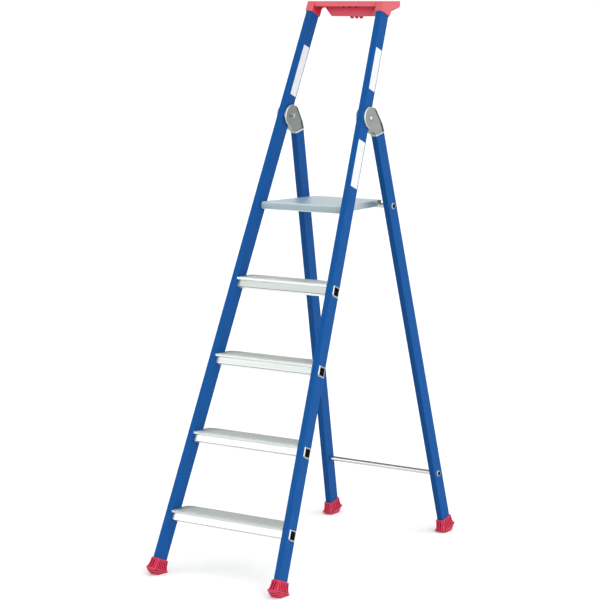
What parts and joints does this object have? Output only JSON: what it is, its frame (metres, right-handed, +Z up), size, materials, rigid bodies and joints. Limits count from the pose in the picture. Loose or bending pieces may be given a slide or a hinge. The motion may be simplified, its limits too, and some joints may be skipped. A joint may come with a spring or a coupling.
{
  "type": "step ladder",
  "caption": "Folding platform step ladder with fibreglass stiles, flat aluminium treads, a hinged standing platform, braced rear legs and a moulded top tray with a tool basin.",
  "frame": {"origin": "middle of the open ladder's footprint, on the floor", "axes": "+Z up, -Y towards the climber, +X to the climber's right, across the steps"},
  "size_m": [0.5126, 1.0767, 1.806],
  "materials": {
    "blue_fibreglass": "pultruded glass-fibre tube, satin blue",
    "red_plastic": "moulded, satin red",
    "aluminium": "extruded, mill finish",
    "cast_aluminium": "die cast, satin",
    "steel": "zinc plated",
    "dark_plastic": "moulded, matt"
  },
  "bodies": {
    "front_frame": {"front_stile_left": "blue_fibreglass", "front_stile_right": "blue_fibreglass", "step_1": "aluminium", "step_2": "aluminium", "step_3": "aluminium", "step_4": "aluminium", "top_tray": "red_plastic", "tray_rivets": "steel", "foot_front_left": "red_plastic", "foot_front_right": "red_plastic", "hinge_sleeves": "dark_plastic", "platform_bushes": "dark_plastic"},
    "rear_frame": {"rear_leg_left": "blue_fibreglass", "rear_leg_right": "blue_fibreglass", "hinge_head_left": "cast_aluminium", "hinge_head_right": "cast_aluminium", "hinge_bolts": "steel", "hinge_nuts": "steel", "hinge_washers": "steel", "head_pins": "steel", "platform_tube": "aluminium", "lower_cross_tube": "aluminium", "foot_rear_left": "red_plastic", "foot_rear_right": "red_plastic"},
    "platform": {"platform_deck": "aluminium", "platform_axle": "steel"}
  },
  "joints": [
    {"name": "rear_fold", "type": "hinge", "parent": "front_frame", "child": "rear_frame", "pos_m": [0, 0.10919, 1.433], "axis": [-1, 0, 0], "range_deg": [0, 36.2]},
    {"name": "platform_lift", "type": "hinge", "parent": "front_frame", "child": "platform", "pos_m": [0, -0.02041, 1.145], "axis": [1, 0, 0], "range_deg": [0, 67.5]}
  ],
  "couplings": [
    {"joint": "platform_lift", "follows": "rear_fold", "ratio": 1.8591}
  ]
}
